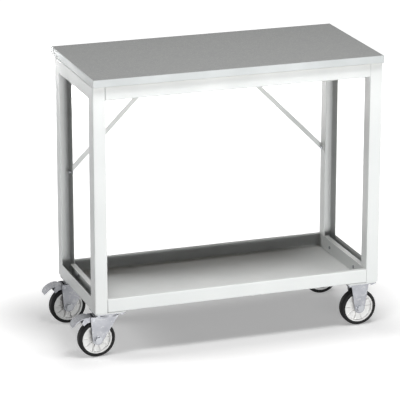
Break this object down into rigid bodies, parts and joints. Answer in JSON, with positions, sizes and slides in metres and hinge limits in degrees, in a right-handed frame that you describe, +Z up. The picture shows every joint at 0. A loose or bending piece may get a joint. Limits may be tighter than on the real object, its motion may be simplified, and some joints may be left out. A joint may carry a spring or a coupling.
{
  "type": "mobile workbench",
  "caption": "Mobile workbench with a lino worktop, white channel steel frame, sunk base tray, back braces and castors, braked swivel pair at the left.",
  "frame": {"origin": "on the floor, at the middle of the overall length and depth", "axes": "+X to the right along the worktop's length, +Y to the back, +Z up"},
  "size_m": [1.0756, 0.48, 0.95],
  "materials": {
    "frame_paint": "fine-textured light grey powder coat",
    "lino": "matt grey lino",
    "board": "bare multiplex board",
    "edge_plastic": "satin edge strip",
    "castor_zinc": "bright zinc plated pressings",
    "bolt_steel": "zinc plated fasteners",
    "tyre_rubber": "matt black rubber",
    "wheel_plastic": "moulded polypropylene",
    "bush_plastic": "plain nylon bearing"
  },
  "bodies": {
    "bench": {"worktop_board": "board", "worktop_lino": "lino", "edge_strip_front": "edge_plastic", "edge_strip_rear": "edge_plastic", "edge_strip_left": "edge_plastic", "edge_strip_right": "edge_plastic", "leg_front_left": "frame_paint", "leg_rear_left": "frame_paint", "leg_front_right": "frame_paint", "leg_rear_right": "frame_paint", "top_side_rail_left": "frame_paint", "top_side_rail_right": "frame_paint", "bottom_side_rail_left": "frame_paint", "bottom_side_rail_right": "frame_paint", "apron_rail_front": "frame_paint", "apron_rail_rear": "frame_paint", "base_tray": "frame_paint", "brace_left": "frame_paint", "brace_right": "frame_paint", "castor_pad_front_left": "frame_paint", "castor_pad_rear_left": "frame_paint", "castor_pad_front_right": "frame_paint", "castor_pad_rear_right": "frame_paint", "frame_bolts": "bolt_steel", "frame_nuts": "bolt_steel", "worktop_screws": "bolt_steel", "castor_bolts": "bolt_steel", "castor_plate_front_left": "castor_zinc", "castor_plate_front_right": "castor_zinc", "castor_plate_rear_left": "castor_zinc", "castor_plate_rear_right": "castor_zinc", "king_pin_front_left": "bolt_steel", "king_pin_rear_left": "bolt_steel", "fixed_fork_front_right": "castor_zinc", "fixed_fork_rear_right": "castor_zinc", "wheel_axle_front_right": "bolt_steel", "wheel_axle_rear_right": "bolt_steel"},
    "fork_front_left": {"castor_fork_front_left": "castor_zinc", "head_balls_front_left": "bolt_steel", "pedal_pin_front_left": "bolt_steel", "wheel_axle_front_left": "bolt_steel"},
    "pedal_front_left": {"brake_pedal_front_left": "castor_zinc"},
    "wheel_front_left": {"wheel_centre_front_left": "wheel_plastic", "wheel_tyre_front_left": "tyre_rubber", "wheel_bush_front_left": "bush_plastic"},
    "wheel_front_right": {"wheel_centre_front_right": "wheel_plastic", "wheel_tyre_front_right": "tyre_rubber", "wheel_bush_front_right": "bush_plastic"},
    "fork_rear_left": {"castor_fork_rear_left": "castor_zinc", "head_balls_rear_left": "bolt_steel", "pedal_pin_rear_left": "bolt_steel", "wheel_axle_rear_left": "bolt_steel"},
    "pedal_rear_left": {"brake_pedal_rear_left": "castor_zinc"},
    "wheel_rear_left": {"wheel_centre_rear_left": "wheel_plastic", "wheel_tyre_rear_left": "tyre_rubber", "wheel_bush_rear_left": "bush_plastic"},
    "wheel_rear_right": {"wheel_centre_rear_right": "wheel_plastic", "wheel_tyre_rear_right": "tyre_rubber", "wheel_bush_rear_right": "bush_plastic"}
  },
  "joints": [
    {"name": "swivel_front_left", "type": "hinge", "parent": "bench", "child": "fork_front_left", "pos_m": [-0.41375, -0.1845, 0.14], "axis": [0, 0, 1], "continuous": true},
    {"name": "roll_front_left", "type": "hinge", "parent": "fork_front_left", "child": "wheel_front_left", "pos_m": [-0.45375, -0.1845, 0.0625], "axis": [0, 1, 0], "continuous": true},
    {"name": "roll_front_right", "type": "hinge", "parent": "bench", "child": "wheel_front_right", "pos_m": [0.47525, -0.1845, 0.0625], "axis": [0, 1, 0], "continuous": true},
    {"name": "brake_front_left", "type": "hinge", "parent": "fork_front_left", "child": "pedal_front_left", "pos_m": [-0.46875, -0.1845, 0.132], "axis": [0, -1, 0], "range_deg": [0, 9]},
    {"name": "swivel_rear_left", "type": "hinge", "parent": "bench", "child": "fork_rear_left", "pos_m": [-0.41375, 0.1545, 0.14], "axis": [0, 0, 1], "continuous": true},
    {"name": "roll_rear_left", "type": "hinge", "parent": "fork_rear_left", "child": "wheel_rear_left", "pos_m": [-0.45375, 0.1545, 0.0625], "axis": [0, 1, 0], "continuous": true},
    {"name": "roll_rear_right", "type": "hinge", "parent": "bench", "child": "wheel_rear_right", "pos_m": [0.47525, 0.1545, 0.0625], "axis": [0, 1, 0], "continuous": true},
    {"name": "brake_rear_left", "type": "hinge", "parent": "fork_rear_left", "child": "pedal_rear_left", "pos_m": [-0.46875, 0.1545, 0.132], "axis": [0, -1, 0], "range_deg": [0, 9]}
  ]
}
